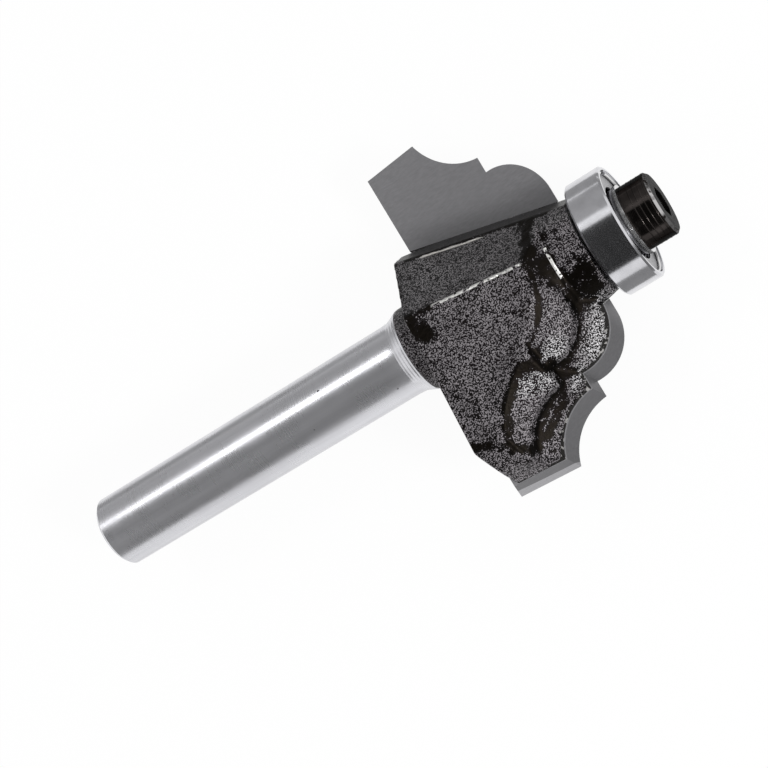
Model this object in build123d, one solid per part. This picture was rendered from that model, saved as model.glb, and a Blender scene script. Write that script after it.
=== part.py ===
from build123d import *
import os
from math import cos, hypot, radians, sin, sqrt, tan

# Cove-and-bead router bit with a guide bearing on its tip.
# Tool frame: +Z runs along the tool axis from the shank's free end to the tip,
# the first wing points to +X and its cutting face looks towards +Y.
# The bit is right-handed: a positive turn about +Z leads with the cutting faces.
# All sizes are in millimetres and degrees.

# Shank and collar
shank_diameter = 8.0
shank_length = 38.6
shank_chamfer = 0.4
flare_length = 2.2
collar_diameter = 9.4
collar_length = 2.1

# Cutting profile, from the shank side to the tip
cutting_diameter = 37.8
wing_count = 2
tip_setback = 0.5  # end face of the head to the carbide
land_length = 6.5  # straight edge at full diameter
cove_depth = 4.9
cove_height = 5.6
cove_radius = 6.9
quirk_width = 1.7  # small shoulder between cove and bead
bead_radius = 5.1

# Carbide tips and the silver solder that holds them
rake_offset = 3.66  # cutting face behind the axis, at rake_height
rake_height = 9.1  # above the end face of the head
shear_angle = 13.3
tip_thickness = 1.6
root_distance = 9.5  # inner edge of the carbide at the end face of the head, from the axis
root_slant = 12.45  # lean of that edge towards the axis
seam_thickness = 0.12

# Levels behind the cutting profile: how far each one is set in outward and axially, and how much
# smaller its bead is
tip_clearance = (1.45, 0.78, 0.0)  # heel of the carbide
seat_drop = (1.55, 0.88, 0.0)  # steel right behind the carbide
rib_width = 1.0  # backing rib, with a sloping back
rib_drop = (3.2, 3.0, 0.3)
step_width = 1.3  # step between the rib and the cleared back
step_drop = (3.7, 3.5, 0.4)
back_width = 2.2  # cleared back, beyond the back flat
back_drop = (10.6, 5.1, 2.3)

# Full rim on the shank side of the head: behind the carbide, behind the step and at the very back
rim_radii = (18.1, 17.5, 15.3)
rim_lengths = (5.0, 4.0, 2.6)
rim_face_radius = 15.6  # end face inside the rim's bevel
rim_bevel = 1.9

# Hub and neck, lengths from the end face of the head
core_radius = 9.9
core_length = 9.1
core_curve = [(8.6, 12.0), (7.5, 13.7)]  # rounded fall of the hub, as radius and length
neck_shoulder = 6.4
neck_shoulder_start = 15.4
neck_shoulder_lean = 0.2  # of the hub's fall where it ends, outward for each unit of length
neck_radius = 6.0
neck_start = 15.7
neck_reach = 1.35  # neck beyond the front of the cutting profile

# Milled faces of the head
flat_distance = 7.82  # back flat, from the axis
flat_azimuth = 78.4
facet_distance = 7.16  # sloping wall of the chip space, at the end face of the head
facet_azimuth = 38.3
facet_taper = 4.0
wall_draft = 0.1  # steep wall beside the carbide, for each millimetre of height

# Guide bearing
bearing_diameter = 12.7
bearing_bore = 4.7625
bearing_width = 3.967
bearing_chamfer = 0.2
ball_diameter = 2.381
ball_count = 7
ball_clearance = 0.03
groove_ratio = 0.52  # raceway radius over ball diameter
inner_shoulder_radius = 3.72
outer_shoulder_radius = 5.12
shield_seat_radius = 5.87
shield_inner_radius = 4.15
shield_thickness = 0.15
shield_depth = 0.45  # bearing face to the outside of the shield
shield_clearance = 0.03
clip_wire = 0.3
clip_gap = 16.0  # opening of the spring clip
cage_inner_radius = 4.0
cage_outer_radius = 4.78
cage_web = 0.12
cage_lip = 0.5
cage_clearance = 0.03

# Screw and washer
boss_radius = 3.4  # small boss that the inner ring seats on
boss_height = 0.35
washer_radius = 3.85
washer_thickness = 0.4
washer_clearance = 0.08
head_radius = 3.5
head_height = 3.2
head_chamfer = 0.3
socket_width = 3.0
socket_depth = 1.9
shoulder_clearance = 0.06
thread_radius = 2.0
thread_length = 9.0
thread_clearance = 0.05
hole_spare = 1.5

# Heights along the axis
flare_end = shank_length + flare_length
head_start = flare_end + collar_length
tip_start = head_start + tip_setback
land_end = tip_start + land_length
quirk_height = land_end + cove_height
profile_front = quirk_height + bead_radius
neck_front = profile_front + neck_reach
bearing_rear = neck_front + boss_height
bearing_middle = bearing_rear + bearing_width / 2
bearing_front = bearing_rear + bearing_width
washer_front = bearing_front + washer_thickness
head_front = washer_front + head_height

# Radii of the cutting profile
cutting_radius = cutting_diameter / 2
cove_foot = cutting_radius - cove_depth
bead_top = cove_foot - quirk_width
bead_centre = bead_top - bead_radius

# The cutting face: its own X runs outward, its Y towards the tip and its Z into the carbide
into_carbide = Vector(0, -cos(radians(shear_angle)), sin(radians(shear_angle)))
rake_origin = Vector(0, -rake_offset, head_start + rake_height)
rake_plane = Plane(rake_origin, x_dir=(1, 0, 0), z_dir=into_carbide)
reach = 2 * cutting_radius  # size of a milling tool that clears the part

# Depths behind the cutting face
seat_depth = tip_thickness + seam_thickness
rib_depth = seat_depth + rib_width
step_depth = rib_depth + step_width
back_depth = step_depth + back_width


def turned(*curves):
    """Solid of revolution about the tool axis from (radius, height) curves that form one loop."""
    return revolve(make_face([Plane.XZ * curve for curve in curves]), Axis.Z)


def ring(inner, outer, bottom, top):
    corners = [(inner, bottom), (outer, bottom), (outer, top), (inner, top)]
    return turned(Polyline(*corners, close=True))


def each_wing(shape):
    return [Rot(0, 0, 360 * n / wing_count) * shape for n in range(wing_count)]


def rake_y(height, depth=0.0):
    """Y of the cutting face, or of the level at a depth behind it, at a height along the axis."""
    angle = radians(shear_angle)
    return rake_origin.Y + (height - rake_origin.Z) * tan(angle) - depth / cos(angle)


def on_rake(radius, height, depth=0.0):
    """Point at a radius and a height on the level at a depth behind the cutting face."""
    y = rake_y(height, depth)
    return rake_plane.to_local_coords(Vector(sqrt(max(radius**2 - y**2, 0)), y, height))


def rake_v(height):
    """Height along the axis, as a coordinate on the cutting face."""
    return (height - rake_origin.Z) / cos(radians(shear_angle))


def root_u(v):
    """Inner edge of the carbide: distance from the axis along the cutting face."""
    return root_distance - (v - rake_v(head_start)) * tan(radians(root_slant))


def arc_middle(start, end, radius, side):
    """Middle of an arc between two points; side is 1 where it bulges to the left of its chord."""
    run, rise = end[0] - start[0], end[1] - start[1]
    chord = hypot(run, rise)
    sagitta = side * (radius - sqrt(radius**2 - chord**2 / 4))
    return (
        (start[0] + end[0]) / 2 - sagitta * rise / chord,
        (start[1] + end[1]) / 2 + sagitta * run / chord,
    )


def profile_wire(drop, depth):
    """Cutting profile set in by a drop, closed beyond the axis, at a depth."""
    outward, axial, smaller = drop
    start = (cutting_radius, head_start)
    land = (cutting_radius, land_end)
    foot = (cove_foot, quirk_height)
    top = (bead_top - smaller, quirk_height)
    front = (bead_centre, profile_front - smaller)
    cove = arc_middle(land, foot, cove_radius, 1)
    bead = arc_middle(top, front, bead_radius - smaller, -1)
    shift = Vector(-outward, -axial, depth)
    points = (start, land, cove, foot, top, bead, front)
    start, land, cove, foot, top, bead, front = [on_rake(r, z) + shift for r, z in points]
    inner_front = Vector(-reach, front.Y, depth)
    inner_start = Vector(-reach, start.Y, depth)
    edges = [
        Line(start, land),
        ThreePointArc(land, cove, foot),
        Line(foot, top),
        ThreePointArc(top, bead, front),
        Line(front, inner_front),
        Line(inner_front, inner_start),
        Line(inner_start, start),
    ]
    return rake_plane * Wire(edges)


def rim_wire(radius, length, depth):
    """Outline of the full rim at a depth, closed at the axis."""
    start, end = [on_rake(radius, z, depth) for z in (head_start - rim_bevel, head_start + length)]
    inner_end = Vector(0, end.Y, depth)
    inner_start = Vector(0, start.Y, depth)
    corners = [start, end, inner_end, inner_start, start]
    return rake_plane * Wire([Line(one, other) for one, other in zip(corners, corners[1:])])


def between(*wires):
    """Solid with straight walls between two outlines."""
    return Solid.make_loft(wires, ruled=True)


def pocket(clearance, start_height, depth):
    """Space outside the carbide's inner edge, square to the cutting face, down to a depth."""
    low = rake_v(start_height)
    high = low + reach
    outline = Polyline(
        (root_u(low) - clearance, low), (reach, low), (reach, high), (root_u(high) - clearance, high),
        close=True,
    )
    return extrude(rake_plane * make_face(outline), depth)


def crossing(first, second):
    """Point where two lines meet, each given as the azimuth of its normal and its distance."""
    (a, p), (b, q) = first, second
    a, b = radians(a), radians(b)
    spread = sin(b - a)
    return ((p * sin(b) - q * sin(a)) / spread, (q * cos(a) - p * cos(b)) / spread)


def milled_section(height):
    """What is milled away on one side at a height: sloping wall, steep wall and chip space."""
    facet = facet_distance - (height - head_start) * tan(radians(facet_taper))
    root = (root_u(rake_v(height)), rake_y(height))
    ridge = crossing((flat_azimuth, flat_distance), (facet_azimuth, facet))
    slope = cos(radians(facet_azimuth)), sin(radians(facet_azimuth))
    climb = (facet - root[0] * slope[0] - root[1] * slope[1]) / (slope[1] - wall_draft * slope[0])
    brink = (root[0] - wall_draft * climb, root[1] + climb)
    top = (ridge[0] - reach * slope[1], ridge[1] + reach * slope[0])
    corners = [top, brink, root, (reach, root[1]), (reach, reach)]
    return Polyline(*[(x, y, height) for x, y in corners], close=True)


def above_flat():
    """What is milled away over the back flat."""
    turn = radians(flat_azimuth)
    face = Plane((0, 0, head_start + reach), x_dir=(0, 0, 1), z_dir=(cos(turn), sin(turn), 0))
    block = Rectangle(2 * (reach + collar_length), 4 * reach)
    return extrude(face.offset(flat_distance) * block, reach)


def half_head():
    """Turned space for one wing, with the bevel of the rim."""
    corners = [
        (0, head_start), (rim_face_radius, head_start), (cutting_radius, head_start + rim_bevel),
        (cutting_radius, profile_front), (0, profile_front),
    ]
    face = Plane.XZ * make_face(Polyline(*corners, close=True))
    return Rot(0, 0, -90) * revolve(face, Axis.Z, 180)


def cutter_body():
    """Shank, collar, head and neck in one piece of steel."""
    shank_radius = shank_diameter / 2
    collar_radius = collar_diameter / 2
    core_end = head_start + core_length
    neck = head_start + neck_start
    lower = [(0, 0), (shank_radius - shank_chamfer, 0), (shank_radius, shank_chamfer)]
    flare = Spline(
        (shank_radius, shank_length), (collar_radius, flare_end), tangents=[(0, 1), (0, 1)]
    )
    curve = [(radius, head_start + length) for radius, length in core_curve]
    shoulder = (neck_shoulder, head_start + neck_shoulder_start)
    fall = Spline((core_radius, core_end), *curve, shoulder, tangents=[(0, 1), (-neck_shoulder_lean, 1)])
    blank = turned(
        Polyline(*lower, (shank_radius, shank_length)),
        flare,
        Polyline(
            (collar_radius, flare_end), (collar_radius, head_start), (core_radius, head_start),
            (core_radius, core_end),
        ),
        fall,
        Polyline(
            shoulder, (neck_radius, neck), (neck_radius, neck_front), (boss_radius, neck_front),
            (boss_radius, bearing_rear), (0, bearing_rear), (0, 0),
        ),
    )
    rib = between(profile_wire(seat_drop, seat_depth), profile_wire(rib_drop, rib_depth))
    step = between(profile_wire(rib_drop, rib_depth), profile_wire(step_drop, step_depth))
    back = between(profile_wire(step_drop, step_depth), profile_wire(back_drop, back_depth))
    rim_depths = (seat_depth, step_depth, back_depth)
    rim = between(*[rim_wire(*level) for level in zip(rim_radii, rim_lengths, rim_depths)])
    wings = each_wing((rib + step + back + rim) & half_head())
    body = blank
    for wing in wings:
        body += wing
    ends = [milled_section(head_start - collar_length), milled_section(bearing_front)]
    chip_space = Solid.make_loft([end.wire() for end in ends], ruled=True)
    seat = pocket(seam_thickness, head_start - seat_depth, seat_depth)
    for cut in each_wing(chip_space) + each_wing(above_flat()) + each_wing(seat):
        body -= cut
    hole = thread_length + hole_spare
    return body - ring(0, thread_radius + thread_clearance, bearing_rear - hole, bearing_front)


def carbide_tip():
    """Ground carbide plate with the cutting profile on its face."""
    plate = between(profile_wire((0, 0, 0), 0), profile_wire(tip_clearance, tip_thickness))
    return plate & pocket(0, tip_start, tip_thickness)


def braze_seam():
    """Silver solder under the carbide and along its inner edge."""
    bed = between(profile_wire(seat_drop, 0), profile_wire(seat_drop, seat_depth))
    bed &= pocket(seam_thickness, tip_start, seat_depth)
    return (bed & half_head()) - pocket(0, head_start, tip_thickness)


def raceway(radius, side):
    """Ball groove that reaches half a ball and its clearance from the ball track, to one side."""
    groove_radius = groove_ratio * ball_diameter
    bottom = radius + side * (ball_diameter / 2 + ball_clearance)
    track = Pos(bottom - side * groove_radius, 0, bearing_middle) * Rot(90, 0, 0)
    return revolve(track * Circle(groove_radius), Axis.Z)


def bearing_parts():
    """Shielded ball bearing: rings, balls, crown cage, shields and their spring clips."""
    outer = bearing_diameter / 2
    bore = bearing_bore / 2
    track_radius = (outer + bore) / 2
    seat = shield_depth + shield_thickness
    chamfer = bearing_chamfer
    outer_ring = turned(
        Polyline(
            (outer - chamfer, bearing_rear), (outer, bearing_rear + chamfer),
            (outer, bearing_front - chamfer), (outer - chamfer, bearing_front),
            (shield_seat_radius, bearing_front), (shield_seat_radius, bearing_front - seat),
            (outer_shoulder_radius, bearing_front - seat), (outer_shoulder_radius, bearing_rear + seat),
            (shield_seat_radius, bearing_rear + seat), (shield_seat_radius, bearing_rear),
            close=True,
        )
    )
    inner_ring = ring(bore, inner_shoulder_radius, bearing_rear, bearing_front)
    parts = {
        "bearing_outer_ring": outer_ring - raceway(track_radius, 1),
        "bearing_inner_ring": inner_ring - raceway(track_radius, -1),
    }
    web = ball_diameter / 2 + cage_clearance + cage_web
    cage = ring(cage_inner_radius, cage_outer_radius, bearing_middle - web, bearing_middle + cage_lip)
    for n in range(ball_count):
        place = Rot(0, 0, 360 * n / ball_count) * Pos(track_radius, 0, bearing_middle)
        parts[f"bearing_ball_{n + 1}"] = place * Sphere(ball_diameter / 2)
        cage -= place * Sphere(ball_diameter / 2 + cage_clearance)
    parts["ball_cage"] = cage
    shield_radius = shield_seat_radius - shield_clearance
    clip_radius = shield_radius - clip_wire / 2
    for name, face, inward in (("front", bearing_front, -1), ("rear", bearing_rear, 1)):
        outside = face + inward * shield_depth
        inside = outside + inward * shield_thickness
        low, high = sorted((outside, inside))
        parts[f"shield_{name}"] = ring(shield_inner_radius, shield_radius, low, high)
        wire = Pos(clip_radius, 0, outside - inward * clip_wire / 2) * Rot(90, 0, 0) * Circle(clip_wire / 2)
        parts[f"shield_clip_{name}"] = revolve(wire, Axis.Z, revolution_arc=360 - clip_gap)
    return parts


def screw_washer():
    hole = bearing_bore / 2 + washer_clearance
    return ring(hole, washer_radius, bearing_front, washer_front)


def cap_screw():
    """Socket head screw whose plain shoulder carries the bearing."""
    shoulder_radius = bearing_bore / 2 - shoulder_clearance
    thread_end = bearing_rear - thread_length
    screw = turned(
        Polyline(
            (0, thread_end), (thread_radius, thread_end), (thread_radius, bearing_rear),
            (shoulder_radius, bearing_rear), (shoulder_radius, washer_front),
            (head_radius, washer_front), (head_radius, head_front - head_chamfer),
            (head_radius - head_chamfer, head_front), (0, head_front), close=True,
        )
    )
    hexagon = RegularPolygon(socket_width / 2, 6, major_radius=False)
    return screw - extrude(Pos(0, 0, head_front - socket_depth) * hexagon, head_height)


parts = {"cutter_body": cutter_body()}
for name, piece in (("carbide_tip", carbide_tip()), ("braze_seam", braze_seam())):
    for n, copy in enumerate(each_wing(piece)):
        parts[f"{name}_{n + 1}"] = copy
parts |= bearing_parts()
parts["screw_washer"] = screw_washer()
parts["cap_screw"] = cap_screw()

# The bit lies on the back flat of its first wing: +X runs along the tool axis towards the tip,
# +Z points up and the origin is under the middle of the bit.
downward = Vector(-cos(radians(flat_azimuth)), -sin(radians(flat_azimuth)), 0)
ground = Vector(0, 0, head_front / 2) + downward * flat_distance
lying = Plane(ground, x_dir=(0, 0, 1), z_dir=-downward)

os.makedirs("parts", exist_ok=True)
for name, piece in parts.items():
    export_step(lying.to_local_coords(piece), f"parts/{name}.step")
    print(name, round(piece.volume, 3))
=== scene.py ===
import bmesh
import bpy
import numpy as np
from math import cos, pi, radians, sin
from mathutils import Matrix, Vector


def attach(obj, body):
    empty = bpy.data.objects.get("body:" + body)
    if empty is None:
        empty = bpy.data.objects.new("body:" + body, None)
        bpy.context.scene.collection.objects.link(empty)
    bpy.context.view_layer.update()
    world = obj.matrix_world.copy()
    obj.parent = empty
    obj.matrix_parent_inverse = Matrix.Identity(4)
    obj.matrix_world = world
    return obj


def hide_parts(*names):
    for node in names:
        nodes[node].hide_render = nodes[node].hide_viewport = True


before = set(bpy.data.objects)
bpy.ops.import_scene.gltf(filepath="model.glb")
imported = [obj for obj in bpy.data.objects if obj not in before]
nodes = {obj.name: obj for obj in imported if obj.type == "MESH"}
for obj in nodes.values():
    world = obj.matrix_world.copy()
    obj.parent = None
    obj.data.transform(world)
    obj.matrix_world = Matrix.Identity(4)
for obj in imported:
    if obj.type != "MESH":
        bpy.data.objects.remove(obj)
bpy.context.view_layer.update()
mm = 0.001
noiseRange = (0.3, 0.7)  # the levels between which most of a noise lies

toolFrame = {
    "freeEnd": -34.934 * mm,  # the shank's free end, along the tool
    "axisHeight": 7.82 * mm,
    "turn": 180.0,  # degrees from one wing to the other
    "slopeNormal": (0.070, 0.643, 0.763),  # the first wing's slope beside its carbide tip
    "wallNormal": (0.198, 0.936, 0.292),  # the pocket's wall over that tip
}


# Building blocks for node trees and objects

class NodeBench:
    # a node tree with short ways to add and join its nodes
    def __init__(self, tree):
        self.tree = tree

    def add(self, kind, _values=None, **settings):
        node = self.tree.nodes.new(kind)
        for name, value in settings.items():
            setattr(node, name, value)
        for socket, value in (_values or {}).items():
            self.feed(node, socket, value)
        return node

    def feed(self, node, socket, value):
        target = node.inputs[socket]
        if isinstance(value, bpy.types.NodeSocket):
            self.tree.links.new(value, target)
        elif isinstance(value, bpy.types.Node):
            self.tree.links.new(value.outputs[0], target)
        else:
            target.default_value = value

    def math(self, operation, first, second=0.0, third=0.0):
        return self.add("ShaderNodeMath", {0: first, 1: second, 2: third}, operation=operation).outputs[0]

    def vector(self, operation, first, second):
        node = self.add("ShaderNodeVectorMath", {0: first, 1: second}, operation=operation)
        return node.outputs["Value" if operation == "DOT_PRODUCT" else "Vector"]

    def scaled(self, vector, factor):
        node = self.add("ShaderNodeVectorMath", {0: vector, "Scale": factor}, operation="SCALE")
        return node.outputs["Vector"]

    def split(self, vector):
        return self.add("ShaderNodeSeparateXYZ", {0: vector}).outputs

    def join(self, x=0.0, y=0.0, z=0.0):
        return self.add("ShaderNodeCombineXYZ", {0: x, 1: y, 2: z}).outputs[0]

    def span(self, value, low, high, start=0.0, end=1.0, smooth=False):
        node = self.add("ShaderNodeMapRange", {0: value, 1: low, 2: high, 3: start, 4: end}, clamp=True)
        node.interpolation_type = "SMOOTHSTEP" if smooth else "LINEAR"
        return node.outputs[0]

    def within(self, value, low, high):
        # 1 between low and high
        return self.math("COMPARE", value, (low + high) / 2, (high - low) / 2)

    def about(self, middle, reach, noise):
        # a value that a noise moves by its reach round the middle
        return self.math("MULTIPLY_ADD", noise, reach, middle - reach / 2)

    def tone(self, value):
        return (*value, 1) if isinstance(value, tuple) else value

    def mix(self, factor, first, second):
        values = {0: factor, 6: self.tone(first), 7: self.tone(second)}
        return self.add("ShaderNodeMix", values, data_type="RGBA").outputs[2]

    def blend(self, factor, first, second):
        return self.add("ShaderNodeMix", {0: factor, 2: first, 3: second}, data_type="FLOAT").outputs[0]

    def noise(self, place, scale, detail=2.0, roughness=0.5, distortion=0.0):
        return self.add("ShaderNodeTexNoise", {
            "Vector": place, "Scale": scale, "Detail": detail, "Roughness": roughness,
            "Distortion": distortion}).outputs[0]

    def stretched(self, place, scale, turn=0.0):
        values = {"Vector": place, "Scale": scale, "Rotation": (0, 0, turn)}
        return self.add("ShaderNodeMapping", values).outputs[0]

    def place(self):
        return self.add("ShaderNodeTexCoord").outputs["Object"]

    def lathePlace(self, place):
        # how far along the tool, and how far from its axis
        x, y, z = self.split(place)
        across = self.math("SUBTRACT", z, toolFrame["axisHeight"])
        squares = self.math("ADD", self.math("MULTIPLY", y, y), self.math("MULTIPLY", across, across))
        return x, self.math("SQRT", squares)

    def bump(self, height, strength, depth):
        values = {"Height": height, "Strength": strength, "Distance": depth}
        return self.add("ShaderNodeBump", values).outputs[0]


def newMaterial(name):
    material = bpy.data.materials.new(name)
    material.use_nodes = True
    material.node_tree.nodes.clear()
    return material, NodeBench(material.node_tree)


def closeMaterial(bench, shader):
    output = bench.add("ShaderNodeOutputMaterial")
    bench.feed(output, "Surface", shader.outputs[0])


def dress(material, *names):
    # gives CAD nodes their finish
    for name in names:
        node = nodes[name]
        if not node.material_slots:
            node.data.materials.append(material)
        for slot in node.material_slots:
            slot.material = material


def newObject(name, data):
    thing = bpy.data.objects.new(name, data)
    bpy.context.collection.objects.link(thing)
    return thing


def plainMesh(holder, name):
    # what the holder's modifier makes of it; the holder itself goes
    graph = bpy.context.evaluated_depsgraph_get()
    mesh = bpy.data.meshes.new_from_object(holder.evaluated_get(graph))
    bpy.data.objects.remove(holder)
    mesh.name = name
    return mesh


def addPiece(name, mesh, replaced=()):
    piece = newObject(name, mesh)
    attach(piece, "bit")
    if replaced:
        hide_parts(*replaced)
    print(name, len(mesh.polygons), "faces")


# Marks that several finishes share

def newGroup(name, inputs, outputs):
    # a shader group with named float inputs and outputs
    tree = bpy.data.node_groups.new(name, "ShaderNodeTree")
    for label, value in inputs.items():
        socket = tree.interface.new_socket(label, in_out="INPUT", socket_type="NodeSocketFloat")
        socket.default_value = value
    for label in outputs:
        tree.interface.new_socket(label, in_out="OUTPUT", socket_type="NodeSocketFloat")
    bench = NodeBench(tree)
    return bench, bench.add("NodeGroupInput").outputs, bench.add("NodeGroupOutput")


def useGroup(bench, group, values):
    return bench.add("ShaderNodeGroup", values, node_tree=group.tree).outputs


markSizes = {
    "turning": {"Rings": 2600.0},
    "handling": {"Smudge Scale": 320.0, "Speck Scale": 2200.0, "Speck Level": 0.12},
    "smudgeSpan": (0.35, 0.7),
    "speckEdge": 0.03,
}


def turningGroup():
    # fine rings round the tool's axis, on the barrels and on the end faces
    bench, given, result = newGroup("turningMarks", markSizes["turning"], ["Height"])
    x, radius = bench.lathePlace(bench.place())
    bench.feed(result, "Height", bench.noise(bench.scaled(bench.join(x, radius), given["Rings"]), 1.0))
    return bench


def handlingGroup():
    # faint smudges and small dark specks
    bench, given, result = newGroup("handlingMarks", markSizes["handling"], ["Smudge", "Speck"])
    place = bench.place()
    smudge = bench.noise(place, given["Smudge Scale"], 3.0)
    bench.feed(result, "Smudge", bench.span(smudge, *markSizes["smudgeSpan"], smooth=True))
    speck = bench.noise(place, given["Speck Scale"], 0.0)
    edge = bench.math("SUBTRACT", given["Speck Level"], speck)
    bench.feed(result, "Speck", bench.span(edge, 0.0, markSizes["speckEdge"]))
    return bench


turningMarks = turningGroup()
handlingMarks = handlingGroup()


# Head finish: black textured paint, worn bright along its ridges, with painted shade, painted sheen and
# painted highlight lines

paintLooks = {
    "fleckScale": 7400.0,
    "fleckGrain": (0.6, 0.5, 0.35),  # detail, roughness and distortion of the noise
    "fleckSpan": (0.48, 0.57),
    "fleckTone": (0.25, 0.232, 0.245),
    "fleckRoughness": 0.27,
    "gapTone": (0.010, 0.0085, 0.009),
    "gapRoughness": 0.5,
    "gapMetallic": 0.93,
    "shadedSlopeFleckTone": (0.185, 0.176, 0.182),  # painted shade on the slope beside each carbide tip, darker than the same paint elsewhere
    "shadedSlopeGapTone": (0.024, 0.023, 0.024),
    # painted sheen: the flecks' tone where highlights fall
    "paintedSheenTone": (0.55, 0.54, 0.55),
    "cloudScale": 330.0,
    "cloudSpan": (0.3, 0.65, 0.7, 1.0),
    # painted shade: hollows, pocket walls and the listed runs drawn dark and smooth
    "smoothShadeTone": (0.0075, 0.006, 0.0045),
    "smoothShadeRoughness": 0.42,
    "smoothShadeSpan": (0.2, 1.05),
    "smoothShadeFlecks": -0.3,
    "waverScale": 1250.0,
    "waver": 2.6,
    "rippleScale": 2300.0,
    "ripple": 0.8,
    # bare steel on chipped ridges, also the tone of the painted highlight lines
    "wornTone": (0.78, 0.77, 0.75),
    "wornRoughness": 0.3,
    "ridgeSpan": (0.55, 0.85),
    "chipScale": 2600.0,
    "chipSpan": (0.57, 0.62),
    "breakScale": 1700.0,
    "breakSpan": (0.4, 0.47),
    "specularLevel": 0.28,
    "bumpStrength": 0.7,
    "bumpDepth": 0.09 * mm,
}

# painted highlight lines on the wing that faces up and round the neck's upper side, drawn as bright bare
# steel, measured from the tool's axis
edgeGlint = {  # where the sloping face meets the flat one
    "slopeReach": 7.697 * mm,
    "flatReach": 7.82 * mm,
    "from": 11.0 * mm,
    "to": 21.2 * mm,
    "fade": 0.3 * mm,
    "width": 0.14 * mm,
    "core": 0.6,  # the fully bright share of the width
}
neckGlint = {"from": 23.45 * mm, "to": 23.72 * mm, "low": -2.5 * mm, "high": 0.9 * mm}


def glintMask(bench, place):
    # painted highlights along the slope's edge and round the neck's upper side
    edge, neck = edgeGlint, neckGlint
    fromAxis = bench.vector("SUBTRACT", place, (0, 0, toolFrame["axisHeight"]))
    x, y, z = bench.split(fromAxis)
    slopeReach = bench.vector("DOT_PRODUCT", fromAxis, toolFrame["slopeNormal"])
    offSlope = bench.math("ABSOLUTE", bench.math("SUBTRACT", slopeReach, edge["slopeReach"]))
    offFlat = bench.math("ABSOLUTE", bench.math("SUBTRACT", z, edge["flatReach"]))
    off = bench.math("MAXIMUM", offSlope, offFlat)
    near = bench.span(off, edge["width"], edge["width"] * edge["core"])
    started = bench.span(x, edge["from"], edge["from"] + edge["fade"])
    unended = bench.span(x, edge["to"], edge["to"] - edge["fade"])
    onEdge = bench.math("MULTIPLY", near, bench.math("MULTIPLY", started, unended))
    band = bench.within(x, neck["from"], neck["to"])
    side = bench.within(y, neck["low"], neck["high"])
    upper = bench.math("GREATER_THAN", z, 0.0)
    onNeck = bench.math("MULTIPLY", upper, bench.math("MULTIPLY", band, side))
    return bench.math("MAXIMUM", onEdge, onNeck)


def bothWings(bench, place):
    # the same lines for both wings, half a turn apart about the tool's axis
    turned = bench.add("ShaderNodeMapping", {
        "Vector": place, "Rotation": (radians(toolFrame["turn"]), 0, 0),
        "Location": (0, 0, 2 * toolFrame["axisHeight"])}).outputs[0]
    return bench.math("MAXIMUM", glintMask(bench, place), glintMask(bench, turned))


def texturedPaint():
    looks = paintLooks
    material, bench = newMaterial("texturedBlackPaint")
    place = bench.place()
    hollow, ridge, slope, smoothShade, paintedSheen = (
        bench.add("ShaderNodeAttribute", attribute_name=name).outputs["Fac"]
        for name in ("hollow", "ridge", "slope", "smoothShade", "paintedSheen")
    )
    fleck = bench.noise(place, looks["fleckScale"], *looks["fleckGrain"])
    waver = bench.math("SUBTRACT", bench.noise(place, looks["waverScale"], 3.0), 0.5)
    # painted shade: hollows, the listed runs and the pocket walls go dark, lose their flecks and turn
    # smooth
    smooth = bench.math("MULTIPLY_ADD", waver, looks["waver"], bench.math("MAXIMUM", hollow, smoothShade))
    smooth = bench.span(smooth, *looks["smoothShadeSpan"])
    flecks = bench.math("MULTIPLY_ADD", smooth, looks["smoothShadeFlecks"], fleck)
    cloud = bench.span(bench.noise(place, looks["cloudScale"]), *looks["cloudSpan"])
    amount = bench.math("MULTIPLY", bench.span(flecks, *looks["fleckSpan"]), cloud)
    # painted shade: the slope beside each carbide tip gets darker gaps and flecks
    gap = bench.mix(slope, looks["gapTone"], looks["shadedSlopeGapTone"])
    gap = bench.mix(smooth, gap, looks["smoothShadeTone"])
    fleckTone = bench.mix(slope, looks["fleckTone"], looks["shadedSlopeFleckTone"])
    # painted sheen: brighter flecks where highlights fall
    fleckTone = bench.mix(paintedSheen, fleckTone, looks["paintedSheenTone"])
    paint = bench.mix(amount, gap, fleckTone)
    chipped = bench.span(bench.noise(place, looks["chipScale"]), *looks["chipSpan"])
    broken = bench.span(bench.noise(place, looks["breakScale"]), *looks["breakSpan"])
    # bright bare steel on chipped ridges, partly a painted highlight where the edges catch the light; the
    # glint lines are painted highlights
    ridgeWearAndHighlight = bench.math("MULTIPLY", bench.span(ridge, *looks["ridgeSpan"]), chipped)
    worn = bench.math("MAXIMUM", ridgeWearAndHighlight, bench.math("MULTIPLY", bothWings(bench, place), broken))
    metallic = bench.blend(amount, looks["gapMetallic"], 0.0)
    roughness = bench.blend(amount, looks["gapRoughness"], looks["fleckRoughness"])
    roughness = bench.blend(smooth, roughness, looks["smoothShadeRoughness"])
    ripple = bench.math("MULTIPLY", bench.noise(place, looks["rippleScale"], 3.0), looks["ripple"])
    height = bench.blend(smooth, fleck, ripple)
    shader = bench.add("ShaderNodeBsdfPrincipled", {
        "Base Color": bench.mix(worn, paint, looks["wornTone"]),
        "Roughness": bench.blend(worn, roughness, looks["wornRoughness"]),
        "Metallic": bench.blend(worn, metallic, 1.0),
        "Specular IOR Level": looks["specularLevel"],
        "Normal": bench.bump(height, looks["bumpStrength"], looks["bumpDepth"]),
    })
    closeMaterial(bench, shader)
    return material


# Head: the body's own shape with the soft edges that thick paint gives

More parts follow.
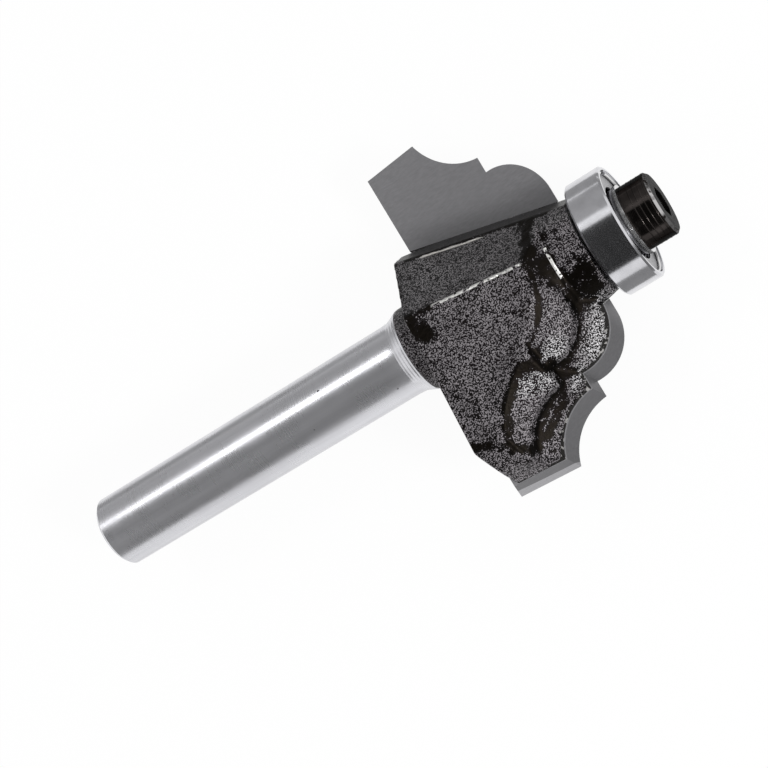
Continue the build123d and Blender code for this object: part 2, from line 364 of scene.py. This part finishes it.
headShape = {
    "paintEdge": 5.45 * mm,  # where the paint ends on the shank's flare
    "voxel": 0.19 * mm,
    "weld": 0.002 * mm,
    "polish": [0.5, -0.52] * 3,
    # mask: sign of the hollow, passes, depth that counts as full
    "masks": {"hollow": (1, 110, 0.17 * mm), "ridge": (-1, 5, 0.1 * mm)},
    "maskShare": 0.6,
    # how squarely a face has to look along the normal to take painted shade, and how much more makes it
    # full
    "slopeFacing": (0.93, 0.05),
    "wallShadeFacing": (0.93, 0.03),
    # a patch is this strong on its line and loses the second number at its radius
    "patchCore": 1.45,
    "patchFall": 0.95,
    # painted shade, drawn dark and smooth: radius, then points x, y, z from the tool's axis, all in mm
    "smoothShade": [
        (1.1, (22.0, 0.5, 7.1), (23.1, -1.9, 6.2), (23.9, -3.7, 4.8), (23.1, -5.4, 4.0)),
        (0.75, (22.0, 0.5, 7.1), (22.3, 2.2, 5.9), (22.6, 3.9, 4.7), (22.9, 5.4, 3.4)),
        (1.3, (25.7, -2.9, 5.5), (25.4, -4.8, 4.1)),
        (1.0, (8.3, 1.2, 7.6), (9.2, -0.6, 7.8)),
        (0.35, (8.2, 1.5, 7.5), (11.0, 1.4, 7.8)),
        (0.5, (16.4, -8.3, 7.7), (14.6, -9.6, 7.7), (13.0, -11.2, 7.6), (11.9, -13.2, 7.4),
         (11.4, -14.8, 7.0)),
        (0.7, (16.2, -8.4, 7.6), (17.7, -9.0, 6.7), (19.0, -9.9, 5.2)),
        (0.55, (19.0, -9.9, 5.2), (17.6, -12.2, 3.6), (16.0, -13.8, 3.5), (14.4, -14.9, 3.7),
         (12.8, -15.8, 5.4)),
        (0.45, (8.2, -12.9, 7.8), (11.2, -14.4, 7.2), (12.8, -15.8, 5.6)),
        (0.45, (9.07, 8.38, 2.21), (25.07, 4.40, 4.09)),
        (0.3, (21.6, -0.8, 7.4), (20.9, -3.5, 7.4), (19.5, -5.8, 7.3), (17.6, -7.6, 7.3)),
    ],
    # painted sheen: where the flecks are drawn bright as highlights, given in the same way
    "paintedSheen": [
        (1.2, (15.8, -9.9, 6.9), (17.6, -10.3, 6.2)),
        (1.0, (19.0, -8.6, 5.9), (19.9, -8.0, 5.6)),
        (1.3, (25.2, -6.0, 2.4), (24.2, -8.0, 2.5), (22.4, -9.8, 2.6)),
        (0.6, (20.4, -10.8, 3.0), (18.9, -12.0, 2.9)),
    ],
}


def averaged(places, edges, shares):
    # each pass moves every vertex towards the middle of its neighbours by its share
    size = len(places)
    count = np.bincount(edges.ravel(), minlength=size)
    for share in shares:
        middle = np.empty_like(places)
        for axis in range(3):
            line = places[:, axis]
            total = np.bincount(edges[:, 0], line[edges[:, 1]], size)
            total += np.bincount(edges[:, 1], line[edges[:, 0]], size)
            middle[:, axis] = total / count
        places = places + share * (middle - places)
    return places


def patches(places, runs):
    # strongest on the line through each run's points, on both wings
    amount = np.zeros(len(places))
    fromAxis = places - (0, 0, toolFrame["axisHeight"])
    for radius, *points in runs:
        for side in (1, -1):
            line = np.array(points) * (mm, side * mm, side * mm)
            for start, end in zip(line[:-1], line[1:]):
                run = end - start
                share = np.clip((fromAxis - start) @ run / (run @ run), 0, 1)
                away = np.linalg.norm(fromAxis - start - share[:, None] * run, axis=1)
                fall = headShape["patchFall"] * away / (radius * mm)
                amount = np.maximum(amount, headShape["patchCore"] - fall)
    return amount


def readVectors(items, name):
    flat = np.empty(len(items) * 3)
    items.foreach_get(name, flat)
    return flat.reshape(-1, 3)


def softenedHead():
    # the CAD body beyond the paint's edge, cut off, closed and remeshed
    work = bmesh.new()
    work.from_mesh(nodes["cutter_body"].data)
    bmesh.ops.remove_doubles(work, verts=work.verts, dist=headShape["weld"])
    everything = work.verts[:] + work.edges[:] + work.faces[:]
    bmesh.ops.bisect_plane(work, geom=everything, plane_co=(headShape["paintEdge"], 0, 0),
                           plane_no=(-1, 0, 0), clear_outer=True)
    bmesh.ops.holes_fill(work, edges=[edge for edge in work.edges if edge.is_boundary])
    rough = bpy.data.meshes.new("headSource")
    work.to_mesh(rough)
    work.free()
    holder = newObject("headSource", rough)
    remesh = holder.modifiers.new("softEdges", "REMESH")
    remesh.mode = "VOXEL"
    remesh.voxel_size = headShape["voxel"]
    return plainMesh(holder, "paintedHead")


def headMasks(places, normals, edges):
    masks = {name: patches(places, headShape[name]) for name in ("smoothShade", "paintedSheen")}
    # painted shade on the slopes beside the tips, chosen by which way they face
    least, reach = headShape["slopeFacing"]
    masks["slope"] = (np.abs(normals @ np.array(toolFrame["slopeNormal"])) - least) / reach
    # painted shade on the pocket walls over both tips
    least, reach = headShape["wallShadeFacing"]
    for side in (1, -1):
        wall = normals @ (np.array(toolFrame["wallNormal"]) * (1, side, side))
        masks["smoothShade"] = np.maximum(masks["smoothShade"], (wall - least) / reach)
    for name, (sign, passes, depth) in headShape["masks"].items():
        shift = averaged(places, edges, [headShape["maskShare"]] * passes) - places
        masks[name] = sign * (shift * normals).sum(axis=1) / depth
    return masks


def paintedHead():
    mesh = softenedHead()
    edges = np.empty(len(mesh.edges) * 2, dtype=np.int32)
    mesh.edges.foreach_get("vertices", edges)
    edges = edges.reshape(-1, 2)
    places = averaged(readVectors(mesh.vertices, "co"), edges, headShape["polish"])
    mesh.vertices.foreach_set("co", places.ravel())
    mesh.update()
    for name, amount in headMasks(places, readVectors(mesh.vertices, "normal"), edges).items():
        attribute = mesh.attributes.new(name, "FLOAT", "POINT")
        attribute.data.foreach_set("value", np.clip(amount, 0, 1).astype(np.float32))
    mesh.shade_smooth()
    mesh.materials.clear()
    mesh.materials.append(texturedPaint())
    addPiece("paintedHead", mesh, ["cutter_body"])


paintedHead()


# Geometry recipes: trees with named inputs, turned into plain meshes

sharpAngle = 35.0  # degrees between faces that keep a sharp edge


def newRecipe(name, sizes):
    tree = bpy.data.node_groups.new(name, "GeometryNodeTree")
    for label, value in sizes.items():
        kind = {int: "Int", float: "Float", tuple: "Vector"}[type(value)]
        socket = tree.interface.new_socket(label, in_out="INPUT", socket_type="NodeSocket" + kind)
        socket.default_value = value
    tree.interface.new_socket("Finish", in_out="INPUT", socket_type="NodeSocketMaterial")
    tree.interface.new_socket("Geometry", in_out="OUTPUT", socket_type="NodeSocketGeometry")
    bench = NodeBench(tree)
    return bench, bench.add("NodeGroupInput").outputs


def closeRecipe(bench, geometry, finish):
    smooth = bench.add("GeometryNodeSetShadeSmooth", {"Geometry": geometry})
    real = bench.add("GeometryNodeRealizeInstances", {"Geometry": smooth})
    done = bench.add("GeometryNodeSetMaterial", {"Geometry": real, "Material": finish})
    bench.feed(bench.add("NodeGroupOutput"), 0, done)


def growPiece(name, bench, sizes, finish, replaced=()):
    values = {**sizes, "Finish": finish}
    holder = newObject(name + "Recipe", bpy.data.meshes.new(name + "Recipe"))
    modifier = holder.modifiers.new("recipe", "NODES")
    modifier.node_group = bench.tree
    for socket in bench.tree.interface.items_tree:
        if socket.in_out == "INPUT":
            modifier[socket.identifier] = values[socket.name]
    mesh = plainMesh(holder, name)
    work = bmesh.new()
    work.from_mesh(mesh)
    bmesh.ops.recalc_face_normals(work, faces=work.faces)
    work.to_mesh(mesh)
    work.free()
    mesh.set_sharp_from_angle(angle=radians(sharpAngle))
    addPiece(name, mesh, replaced)


# Shank: ground steel, lathed from its radius along the tool, with turned rings at the flare

shankLooks = {
    "tone": (0.68, 0.68, 0.71),
    "speckTone": (0.06, 0.06, 0.065),
    "roughness": 0.27,
    "ringRoughness": 0.12,
    "smudgeRoughness": 0.06,
    "rings": {"Rings": 5200.0},
    "handling": {"Smudge Scale": 260.0, "Speck Scale": 1500.0, "Speck Level": 0.15},
    "streakScale": (40, 900, 900),
    "streakShades": (0.86, 1.06),
    "bumpStrength": 0.1,
    "bumpDepth": 0.02 * mm,
}

shankShape = {
    "Free End": toolFrame["freeEnd"],
    "Axis Height": toolFrame["axisHeight"],
    "Radius": 4.0 * mm,
    "Chamfer": 0.4 * mm,
    "Flare Start": 38.6 * mm,
    "Flare Length": 2.2 * mm,
    "Collar Radius": 4.7 * mm,
    "Length": 40.7 * mm,
    "Ring Start": 39.0 * mm,
    "Ring Pitch": 0.42 * mm,
    "Ring Depth": 0.022 * mm,
    "Tuck": 0.08 * mm,  # how far the hidden end lies under the paint
    "Tuck Length": 0.3 * mm,
    "Tuck Ramp": 0.04 * mm,
    "Sides": 128,
}
shankSteps = {"chamfer": 6, "plain": 44, "rings": 160}


def groundSteel():
    looks = shankLooks
    material, bench = newMaterial("groundShankSteel")
    marks = useGroup(bench, turningMarks, looks["rings"])["Height"]
    handling = useGroup(bench, handlingMarks, looks["handling"])
    streaks = bench.noise(bench.stretched(bench.place(), looks["streakScale"]), 1.0, 3.0)
    clean = bench.scaled(looks["tone"], bench.span(streaks, *noiseRange, *looks["streakShades"]))
    rough = bench.about(looks["roughness"], looks["ringRoughness"], marks)
    shader = bench.add("ShaderNodeBsdfPrincipled", {
        "Base Color": bench.mix(handling["Speck"], clean, looks["speckTone"]), "Metallic": 1.0,
        "Roughness": bench.math("MULTIPLY_ADD", handling["Smudge"], looks["smudgeRoughness"], rough),
        "Normal": bench.bump(marks, looks["bumpStrength"], looks["bumpDepth"]),
    })
    closeMaterial(bench, shader)
    return material


def shankRecipe():
    bench, given = newRecipe("groundShank", shankShape)
    chamferEnd = shankSteps["chamfer"]
    plainEnd = chamferEnd + shankSteps["plain"]
    steps = plainEnd + shankSteps["rings"]
    line = bench.add("GeometryNodeMeshLine", {"Count": steps + 1, "Offset": (0, 0, 0)})
    index = bench.add("GeometryNodeInputIndex").outputs[0]
    plainLength = bench.math("SUBTRACT", given["Ring Start"], given["Chamfer"])
    ringLength = bench.math("SUBTRACT", given["Length"], given["Ring Start"])
    along = bench.span(index, 0, chamferEnd, 0.0, given["Chamfer"])
    along = bench.math("ADD", along, bench.span(index, chamferEnd, plainEnd, 0.0, plainLength))
    along = bench.math("ADD", along, bench.span(index, plainEnd, steps, 0.0, ringLength))
    spot = bench.join(bench.math("ADD", given["Free End"], along), 0.0, given["Axis Height"])
    placed = bench.add("GeometryNodeSetPosition", {"Geometry": line, "Position": spot})
    curve = bench.add("GeometryNodeMeshToCurve", {"Mesh": placed})
    # radius along the tool: chamfer, flare, rings, then the end under the paint
    x = bench.split(bench.add("GeometryNodeInputPosition").outputs[0])[0]
    run = bench.math("SUBTRACT", x, given["Free End"])
    radius = bench.math("SUBTRACT", given["Radius"], given["Chamfer"])
    radius = bench.math("ADD", radius, bench.math("MINIMUM", run, given["Chamfer"]))
    flareEnd = bench.math("ADD", given["Flare Start"], given["Flare Length"])
    swell = bench.math("SUBTRACT", given["Collar Radius"], given["Radius"])
    flare = bench.span(run, given["Flare Start"], flareEnd, 0.0, swell, smooth=True)
    radius = bench.math("ADD", radius, flare)
    turns = bench.math("DIVIDE", run, given["Ring Pitch"])
    wave = bench.math("SINE", bench.math("MULTIPLY", turns, 2 * pi))
    wave = bench.math("MULTIPLY_ADD", wave, 0.5, -0.5)  # cuts in only
    fullRings = bench.math("ADD", given["Ring Start"], given["Ring Pitch"])
    wave = bench.math("MULTIPLY", wave, bench.span(run, given["Ring Start"], fullRings))
    radius = bench.math("ADD", radius, bench.math("MULTIPLY", wave, given["Ring Depth"]))
    tuckStart = bench.math("SUBTRACT", given["Length"], given["Tuck Length"])
    tuckEnd = bench.math("ADD", tuckStart, given["Tuck Ramp"])
    radius = bench.math("SUBTRACT", radius, bench.span(run, tuckStart, tuckEnd, 0.0, given["Tuck"]))
    circle = bench.add("GeometryNodeCurvePrimitiveCircle", {"Resolution": given["Sides"], "Radius": 1.0})
    tube = bench.add("GeometryNodeCurveToMesh", {
        "Curve": curve, "Profile Curve": circle, "Scale": radius, "Fill Caps": True})
    closeRecipe(bench, tube, given["Finish"])
    return bench


growPiece("groundShank", shankRecipe(), shankShape, groundSteel(), ["cutter_body"])


# Plain steels: tone, roughness and the scale of their turned rings

steels = {
    "silverSolder": ((0.60, 0.58, 0.56), 0.38, 900.0),
    "bearingSteel": ((0.70, 0.70, 0.73), 0.16, 3000.0),
    "pressedSteel": ((0.32, 0.32, 0.33), 0.3, 1200.0),
    "brightWasher": ((0.7, 0.7, 0.7), 0.2, 900.0),
}

steelLooks = {
    "handling": {"Smudge Scale": 420.0},
    "smudgeShade": 0.85,
    "speckShade": 0.3,
    "ringRoughness": 0.08,
    "bumpStrength": 0.1,
    "bumpDepth": 0.02 * mm,
}


def shaded(tone, share):
    return tuple(channel * share for channel in tone)


def polishedSteel(name):
    looks = steelLooks
    tone, roughness, rings = steels[name]
    material, bench = newMaterial(name)
    marks = useGroup(bench, turningMarks, {"Rings": rings})["Height"]
    handling = useGroup(bench, handlingMarks, looks["handling"])
    base = bench.mix(handling["Smudge"], tone, shaded(tone, looks["smudgeShade"]))
    base = bench.mix(handling["Speck"], base, shaded(tone, looks["speckShade"]))
    shader = bench.add("ShaderNodeBsdfPrincipled", {
        "Base Color": base, "Metallic": 1.0,
        "Roughness": bench.about(roughness, looks["ringRoughness"], marks),
        "Normal": bench.bump(marks, looks["bumpStrength"], looks["bumpDepth"]),
    })
    closeMaterial(bench, shader)
    return material


# Silver solder: an uneven bead beside each carbide tip, and the seams under the paint

solderShape = {
    "Start": (10.75 * mm, 7.60 * mm, 2.70 * mm),  # from the tool's axis
    "Middle": (14.36 * mm, 6.52 * mm, 3.30 * mm),
    "End": (18.30 * mm, 5.60 * mm, 3.70 * mm),
    "Axis Height": toolFrame["axisHeight"],
    "Width": 0.16 * mm,
    "Thinnest": 0.7,  # shares of the width
    "Thickest": 1.3,
    "Swell Scale": 1100.0,
    "Taper In": 0.08,  # shares of the length
    "Taper Out": 0.86,
    "Tip Width": 0.05,
    "Waver": 0.10 * mm,
    "Waver Scale": 700.0,
    "Seed": 4,
    "Seed Step": 0.1,
    "Steps": 120,
    "Sides": 14,
    "Wings": 2,
}

soiledLooks = {
    "patchScale": 1900.0,
    "patchSpan": (0.58, 0.63),
    # soiled, then bare
    "tones": ((0.012, 0.011, 0.010), (0.42, 0.41, 0.4)),
    "metallic": (0.6, 1.0),
    "roughness": (0.5, 0.35),
}


def solderRecipe():
    bench, given = newRecipe("solderBead", solderShape)
    line = bench.add("GeometryNodeCurveQuadraticBezier", {
        "Resolution": given["Steps"], "Start": given["Start"], "Middle": given["Middle"],
        "End": given["End"]})
    place = bench.add("GeometryNodeInputPosition").outputs[0]
    seeded = bench.join(bench.math("MULTIPLY", given["Seed"], given["Seed Step"]))
    seeded = bench.vector("ADD", place, seeded)
    drift = bench.add("ShaderNodeTexNoise", {
        "Vector": seeded, "Scale": given["Waver Scale"], "Detail": 2.0}).outputs["Color"]
    drift = bench.vector("SUBTRACT", drift, (0.5, 0.5, 0.5))
    drift = bench.scaled(drift, given["Waver"])
    moved = bench.add("GeometryNodeSetPosition", {"Geometry": line, "Offset": drift})
    along = bench.add("GeometryNodeSplineParameter").outputs["Factor"]
    taperIn = bench.span(along, 0.0, given["Taper In"], smooth=True)
    taperOut = bench.span(along, 1.0, given["Taper Out"], smooth=True)
    ends = bench.math("MAXIMUM", bench.math("MULTIPLY", taperIn, taperOut), given["Tip Width"])
    swell = bench.noise(seeded, given["Swell Scale"])
    swell = bench.span(swell, *noiseRange, given["Thinnest"], given["Thickest"])
    width = bench.math("MULTIPLY", bench.math("MULTIPLY", given["Width"], swell), ends)
    circle = bench.add("GeometryNodeCurvePrimitiveCircle", {"Resolution": given["Sides"], "Radius": 1.0})
    bead = bench.add("GeometryNodeCurveToMesh", {
        "Curve": moved, "Profile Curve": circle, "Scale": width, "Fill Caps": True})
    wings = bench.add("GeometryNodeMeshLine", {
        "Count": given["Wings"], "Offset": (0, 0, 0),
        "Start Location": bench.join(0.0, 0.0, given["Axis Height"])})
    index = bench.add("GeometryNodeInputIndex").outputs[0]
    turn = bench.math("DIVIDE", bench.math("MULTIPLY", index, 2 * pi), given["Wings"])
    copies = bench.add("GeometryNodeInstanceOnPoints", {
        "Points": wings, "Instance": bead, "Rotation": bench.join(turn)})
    closeRecipe(bench, copies, given["Finish"])
    return bench


def soiledSolder():
    # solder under the paint, bare only in places
    looks = soiledLooks
    material, bench = newMaterial("soiledSolder")
    bare = bench.span(bench.noise(bench.place(), looks["patchScale"]), *looks["patchSpan"])
    shader = bench.add("ShaderNodeBsdfPrincipled", {
        "Base Color": bench.mix(bare, *looks["tones"]),
        "Metallic": bench.blend(bare, *looks["metallic"]),
        "Roughness": bench.blend(bare, *looks["roughness"]),
    })
    closeMaterial(bench, shader)
    return material


growPiece("solderBead", solderRecipe(), solderShape, polishedSteel("silverSolder"))
dress(soiledSolder(), "braze_seam_1", "braze_seam_2")


# Carbide tips

carbideLooks = {
    "tone": (0.225, 0.223, 0.232),
    "lineTone": (0.28, 0.277, 0.288),
    "darkShare": 0.74,
    "lineScale": (260, 5200, 5200),
    "lineTurn": 8.0,  # degrees
    "lineGrain": (3.0, 0.6),  # detail and roughness of the noise
    "lineRoughness": 0.2,
    "cloudScale": 180.0,
    "cloudAmount": 0.5,
    "roughness": 0.36,
    "metallic": 0.3,
    "flatSpan": (0.75, 0.9),  # how level a face has to lie to count as flat
    "sidePaintedShade": 0.62,  # painted shade on the ground sides, against the flats
    "landRadius": 18.45 * mm,
    # painted light on the outer land beyond landRadius
    "landPaintedLight": 1.5,
    "bumpStrength": 0.25,
    "bumpDepth": 0.03 * mm,
}


def carbideFinish():
    looks = carbideLooks
    material, bench = newMaterial("groundCarbide")
    place = bench.place()
    stretched = bench.stretched(place, looks["lineScale"], radians(looks["lineTurn"]))
    lines = bench.noise(stretched, 1.0, *looks["lineGrain"])
    tone = bench.mix(lines, shaded(looks["tone"], looks["darkShare"]), looks["lineTone"])
    cloud = bench.span(bench.noise(place, looks["cloudScale"], 3.0), *noiseRange, 0.0, looks["cloudAmount"])
    tone = bench.mix(cloud, tone, looks["tone"])
    # painted light and shade: sides darker than the flats, the outer land lighter
    level = bench.split(bench.add("ShaderNodeTexCoord").outputs["Normal"])[2]
    flat = bench.span(bench.math("ABSOLUTE", level), *looks["flatSpan"])
    radius = bench.lathePlace(place)[1]
    rim = bench.math("GREATER_THAN", radius, looks["landRadius"])
    land = bench.math("MULTIPLY", rim, bench.math("SUBTRACT", 1.0, flat))
    paintedShading = bench.blend(land, bench.blend(flat, looks["sidePaintedShade"], 1.0), looks["landPaintedLight"])
    shader = bench.add("ShaderNodeBsdfPrincipled", {
        "Base Color": bench.scaled(tone, paintedShading), "Metallic": looks["metallic"],
        "Roughness": bench.about(looks["roughness"], looks["lineRoughness"], lines),
        "Normal": bench.bump(lines, looks["bumpStrength"], looks["bumpDepth"]),
    })
    closeMaterial(bench, shader)
    return material


dress(carbideFinish(), "carbide_tip_1", "carbide_tip_2")


# Bearing and washer

ballNames = [f"bearing_ball_{number}" for number in range(1, 8)]
dress(polishedSteel("bearingSteel"), "bearing_outer_ring", "bearing_inner_ring", *ballNames)
dress(polishedSteel("pressedSteel"), "ball_cage", "shield_front", "shield_rear")
dress(polishedSteel("brightWasher"), "screw_washer", "shield_clip_front", "shield_clip_rear")


# Screw: black oxide with turned rings round the head

screwLooks = {
    "tone": (0.031, 0.027, 0.0255),
    "smudgeShade": 1.8,
    "wornTone": (0.5, 0.49, 0.49),
    "edgeTint": (0.15, 0.15, 0.15),
    "metallic": 0.92,
    "roughness": 0.11,
    "smudgeRoughness": 0.1,
    "rings": {"Rings": 2400.0},
    "handling": {"Smudge Scale": 700.0},
    "headFront": 34.933 * mm,
    "rimDepth": 0.26 * mm,  # the bright worn chamfer
    "rimRadius": 3.12 * mm,
    "wearScale": 1300.0,
    "wearSpan": (0.35, 0.5),
    "bumpStrength": 0.15,
    "bumpDepth": 0.03 * mm,
}


def blackOxide():
    looks = screwLooks
    material, bench = newMaterial("blackOxideSteel")
    place = bench.place()
    marks = useGroup(bench, turningMarks, looks["rings"])["Height"]
    smudge = useGroup(bench, handlingMarks, looks["handling"])["Smudge"]
    x, radius = bench.lathePlace(place)
    front = bench.math("GREATER_THAN", x, looks["headFront"] - looks["rimDepth"])
    rim = bench.math("MULTIPLY", front, bench.math("GREATER_THAN", radius, looks["rimRadius"]))
    wear = bench.span(bench.noise(place, looks["wearScale"]), *looks["wearSpan"])
    worn = bench.math("MULTIPLY", rim, wear)
    dark = bench.mix(smudge, looks["tone"], shaded(looks["tone"], looks["smudgeShade"]))
    shader = bench.add("ShaderNodeBsdfPrincipled", {
        "Base Color": bench.mix(worn, dark, looks["wornTone"]),
        "Metallic": bench.blend(worn, looks["metallic"], 1.0),
        "Roughness": bench.math("MULTIPLY_ADD", smudge, looks["smudgeRoughness"], looks["roughness"]),
        "Specular Tint": bench.tone(looks["edgeTint"]),
        "Normal": bench.bump(marks, looks["bumpStrength"], looks["bumpDepth"]),
    })
    closeMaterial(bench, shader)
    return material


ringShape = {
    "First": 34.45 * mm,
    "Pitch": -0.56 * mm,
    "Count": 4,
    "Ring Radius": 3.44 * mm,
    "Ring Sides": 96,
    "Wire Radius": 0.085 * mm,
    "Wire Sides": 16,
    "Axis Height": toolFrame["axisHeight"],
}


def ringRecipe():
    bench, given = newRecipe("headRings", ringShape)
    circle, wire = (
        bench.add("GeometryNodeCurvePrimitiveCircle", {
            "Resolution": given[part + " Sides"], "Radius": given[part + " Radius"]})
        for part in ("Ring", "Wire")
    )
    ring = bench.add("GeometryNodeCurveToMesh", {"Curve": circle, "Profile Curve": wire})
    row = bench.add("GeometryNodeMeshLine", {
        "Count": given["Count"], "Offset": bench.join(given["Pitch"]),
        "Start Location": bench.join(given["First"], 0.0, given["Axis Height"])})
    rings = bench.add("GeometryNodeInstanceOnPoints", {
        "Points": row, "Instance": ring, "Rotation": (0, pi / 2, 0)})
    closeRecipe(bench, rings, given["Finish"])
    return bench


screwFinish = blackOxide()
dress(screwFinish, "cap_screw")
growPiece("headRings", ringRecipe(), ringShape, screwFinish)
print("finishes done")


# Floor, world, lamps and camera

studio = {
    "floorSize": 3.0,
    "floorTone": 0.97,
    "floorGlow": 0.94,
    "ambient": 0.7,
    # place, size, power
    "lamps": {
        "keySoftbox": ((-0.217, 0.276, 0.511), 0.12, 0.3),
        "sideSoftbox": ((0.36, -0.30, 0.37), 0.12, 1.3),
    },
    # cards that only reflections see: on the floor, with x from and to, y from and to, brightness
    "floorCards": {
        "farFloorCard": (-0.6, 0.4, 0.022, 0.5, 0.35),
        "frontFloorCard": (0.037, 0.45, -0.3, 0.02, 0.22),
        # painted shadow: the tool's shadow on the floor as reflections see it
        "floorShadowCard": (0.012, 0.036, -0.05, -0.012, 0.3),
    },
    "floorCardRise": 0.5 * mm,
    # and round the tool, with x from and to, lowest and highest degree, brightness
    "roundCards": {
        "roomCard": (-0.6, 0.4, 45, 99, 0.4),
        "shankCard": (-0.6, -0.11, -77, 33, 0.28),
        "blackCard": (-0.11, 0.08, -66, 30, 0.02),
    },
    "cardRadius": 0.5,
    "cardSteps": 24,
    "cardMiddle": 101.6,  # degrees, from the floor's +Y round the tool's axis
}


def lightPathSum(bench):
    path = bench.add("ShaderNodeLightPath")
    seen = bench.math("MAXIMUM", path.outputs["Is Camera Ray"], path.outputs["Is Glossy Ray"])
    return bench.math("MAXIMUM", seen, path.outputs["Is Transmission Ray"])


def addSheet(name, corners, faces, material):
    mesh = bpy.data.meshes.new(name)
    mesh.from_pydata(corners, [], faces)
    mesh.materials.append(material)
    sheet = newObject(name, mesh)
    return sheet


def flatCorners(start, end, near, far, height=0.0):
    return [(start, near, height), (end, near, height), (end, far, height), (start, far, height)]


def buildFloor():
    material, bench = newMaterial("paleFloor")
    white = bench.add("ShaderNodeEmission", {"Color": (1, 1, 1, 1), "Strength": 1.0})
    matte = bench.add("ShaderNodeBsdfDiffuse", {"Color": (*[studio["floorTone"]] * 3, 1)})
    share = bench.math("MULTIPLY", lightPathSum(bench), studio["floorGlow"])
    closeMaterial(bench, bench.add("ShaderNodeMixShader", {0: share, 1: matte, 2: white}))
    half = studio["floorSize"] / 2
    addSheet("studioFloor", flatCorners(-half, half, -half, half), [(0, 1, 2, 3)], material)


def buildWorld():
    world = bpy.data.worlds.new("studioWorld")
    bpy.context.scene.world = world
    world.use_nodes = True
    world.node_tree.nodes.clear()
    bench = NodeBench(world.node_tree)
    strength = bench.blend(lightPathSum(bench), studio["ambient"], 1.0)
    back = bench.add("ShaderNodeBackground", {"Color": (1, 1, 1, 1), "Strength": strength})
    bench.add("ShaderNodeOutputWorld", {"Surface": back})


def buildLamps():
    # each lamp looks at the middle of the floor
    for name, (place, size, power) in studio["lamps"].items():
        data = bpy.data.lights.new(name, "AREA")
        data.size = size
        data.energy = power
        lamp = newObject(name, data)
        lamp.location = place
        lamp.rotation_mode = "QUATERNION"
        lamp.rotation_quaternion = (-lamp.location).to_track_quat("-Z", "Y")


def addCard(name, corners, faces, strength):
    material, bench = newMaterial(name)
    closeMaterial(bench, bench.add("ShaderNodeEmission", {"Color": (1, 1, 1, 1), "Strength": strength}))
    card = addSheet(name, corners, faces, material)
    card.visible_camera = False
    card.visible_diffuse = False
    card.visible_shadow = False


def buildCards():
    radius, steps = studio["cardRadius"], studio["cardSteps"]
    for name, (start, end, lowest, highest, strength) in studio["roundCards"].items():
        corners = []
        for step in range(steps + 1):
            angle = radians(studio["cardMiddle"] - lowest - (highest - lowest) * step / steps)
            y, z = radius * cos(angle), radius * sin(angle) + toolFrame["axisHeight"]
            corners += [(start, y, z), (end, y, z)]
        faces = [(2 * step, 2 * step + 1, 2 * step + 3, 2 * step + 2) for step in range(steps)]
        addCard(name, corners, faces, strength)
    for name, (*reach, strength) in studio["floorCards"].items():
        addCard(name, flatCorners(*reach, studio["floorCardRise"]), [(0, 1, 2, 3)], strength)


cameraView = {
    "place": (0.06585, -0.04085, 0.2009),
    "right": (0.8123, -0.4522, -0.3684),
    "up": (0.4907, 0.8713, 0.0124),
    "lens": 93.49,
    "sensor": 36.0,
    "clipStart": 0.01,
}


def buildCamera():
    right = Vector(cameraView["right"]).normalized()
    up = Vector(cameraView["up"])
    up = (up - right * up.dot(right)).normalized()
    turn = Matrix((right, up, right.cross(up))).transposed()
    data = bpy.data.cameras.new("tableCamera")
    data.lens = cameraView["lens"]
    data.sensor_width = cameraView["sensor"]
    data.clip_start = cameraView["clipStart"]
    camera = newObject("tableCamera", data)
    camera.matrix_world = Matrix.Translation(cameraView["place"]) @ turn.to_4x4()
    bpy.context.scene.camera = camera


buildFloor()
buildWorld()
buildLamps()
buildCards()
buildCamera()
bpy.context.scene.view_settings.view_transform = "Standard"
print("studio done")
